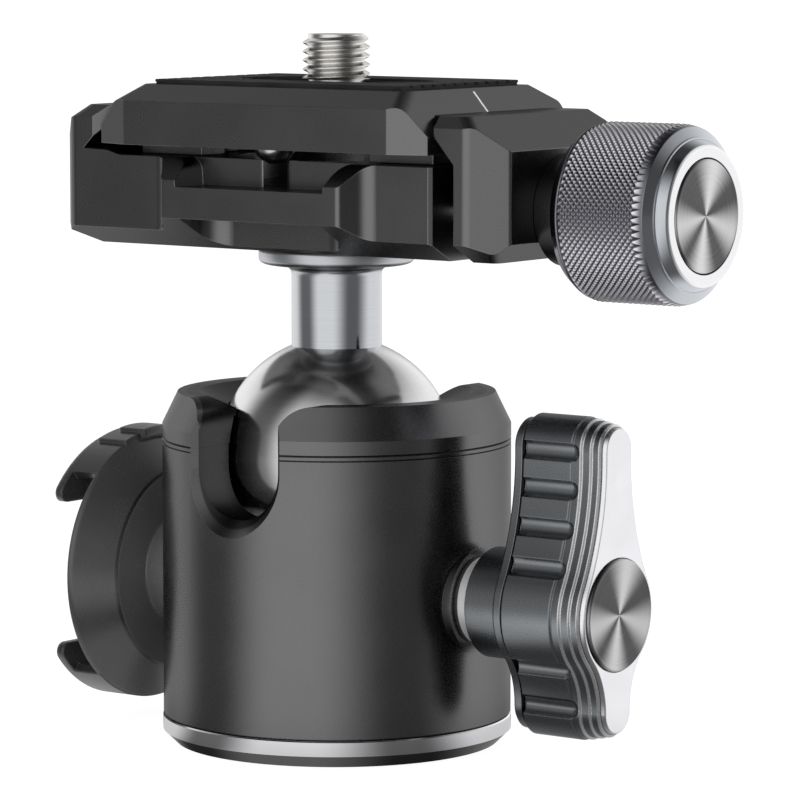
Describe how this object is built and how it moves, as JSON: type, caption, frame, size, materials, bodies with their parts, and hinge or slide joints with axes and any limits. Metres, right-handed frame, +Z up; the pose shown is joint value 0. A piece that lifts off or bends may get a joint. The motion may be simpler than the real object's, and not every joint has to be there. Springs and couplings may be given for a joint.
{
  "type": "tripod ball head",
  "caption": "Tripod ball head with a lockable ball, drop notches, wing lock knob, round remote-control holder and a dovetail quick-release clamp with its plate.",
  "frame": {"origin": "centre of the base's underside, at the mouth of the tripod thread", "axes": "+Z up through the ball and the camera screw; +X along the axes of the lock knob and the clamp knob, towards them; +Y along the plate's dovetail, with a drop notch at each end of Y"},
  "size_m": [0.0676, 0.0332, 0.0668],
  "materials": {
    "body_black": "satin black anodised",
    "clamp_black": "fine matt black anodised",
    "base_black": "satin black anodised",
    "ring_silver": "turned and polished",
    "ball_black": "polished black anodised",
    "stem_chrome": "polished",
    "knob_black": "semi-gloss black anodised",
    "knob_edge": "satin silver",
    "spun_cap": "spun-turned face",
    "knurl_grey": "diamond-knurled gun-metal grey",
    "neck_black": "satin black anodised",
    "washer_silver": "satin",
    "holder_black": "satin moulded",
    "pad_rubber": "fine ribbed",
    "seat_plastic": "smooth low-friction",
    "screw_steel": "machined",
    "thread_brass": "machined"
  },
  "bodies": {
    "housing": {"barrel": "body_black", "collar": "body_black", "base_ring": "ring_silver", "base_plate": "base_black", "thread_bushing": "thread_brass", "base_screws": "screw_steel", "lower_seat": "seat_plastic", "disc_spring": "screw_steel", "lock_washer": "washer_silver", "remote_holder": "holder_black", "holder_screws": "screw_steel"},
    "ball_liner": {"ball_liner": "seat_plastic"},
    "ball": {"ball": "ball_black", "stem": "stem_chrome"},
    "clamp": {"clamp_base": "clamp_black", "stem_screw": "screw_steel", "guide_pins": "screw_steel", "stud_sleeve": "neck_black"},
    "jaw": {"moving_jaw": "clamp_black"},
    "clamp_knob": {"clamp_grip": "knurl_grey", "clamp_cap": "spun_cap", "clamp_neck": "neck_black", "clamp_stud": "screw_steel"},
    "plate": {"quick_plate": "clamp_black", "rubber_pad": "pad_rubber", "stop_screws": "screw_steel"},
    "screw_clip": {"screw_clip": "screw_steel"},
    "camera_screw": {"camera_screw": "screw_steel"},
    "lock_knob": {"lock_grip": "knob_black", "lock_face": "knob_edge", "lock_cap": "spun_cap", "lock_stud": "screw_steel", "lock_screw": "screw_steel"},
    "plunger": {"plunger": "screw_steel"}
  },
  "joints": [
    {"name": "side_tilt", "type": "hinge", "parent": "housing", "child": "ball_liner", "pos_m": [0, 0, 0.02715], "axis": [0, 1, 0], "range_deg": [-35, 18]},
    {"name": "drop_tilt", "type": "hinge", "parent": "ball_liner", "child": "ball", "pos_m": [0, 0, 0.02715], "axis": [1, 0, 0], "range_deg": [-90, 90]},
    {"name": "stem_spin", "type": "hinge", "parent": "ball", "child": "clamp", "pos_m": [0, 0, 0.0468], "axis": [0, 0, 1], "continuous": true},
    {"name": "jaw_slide", "type": "slide", "parent": "clamp", "child": "jaw", "axis": [1, 0, 0], "range_m": [0, 0.00241]},
    {"name": "clamp_knob_turn", "type": "hinge", "parent": "jaw", "child": "clamp_knob", "pos_m": [0.03, 0, 0.05133], "axis": [1, 0, 0], "range_deg": [0, 1080]},
    {"name": "plate_slide", "type": "slide", "parent": "clamp", "child": "plate", "axis": [0, 1, 0], "range_m": [-0.006, 0.006]},
    {"name": "screw_slide", "type": "slide", "parent": "plate", "child": "screw_clip", "axis": [1, 0, 0], "range_m": [-0.0065, 0.0065]},
    {"name": "screw_turn", "type": "hinge", "parent": "screw_clip", "child": "camera_screw", "pos_m": [0, 0, 0.064], "axis": [0, 0, 1], "continuous": true},
    {"name": "lock_knob_turn", "type": "hinge", "parent": "housing", "child": "lock_knob", "pos_m": [0.02, 0, 0.01471], "axis": [1, 0, 0], "range_deg": [0, 120]},
    {"name": "plunger_slide", "type": "slide", "parent": "housing", "child": "plunger", "axis": [1, 0, 0], "range_m": [0, 0.00034]}
  ],
  "couplings": [
    {"joint": "jaw_slide", "follows": "clamp_knob_turn", "m_per_rad": 0.00012732},
    {"joint": "plunger_slide", "follows": "lock_knob_turn", "m_per_rad": 0.00015915}
  ]
}
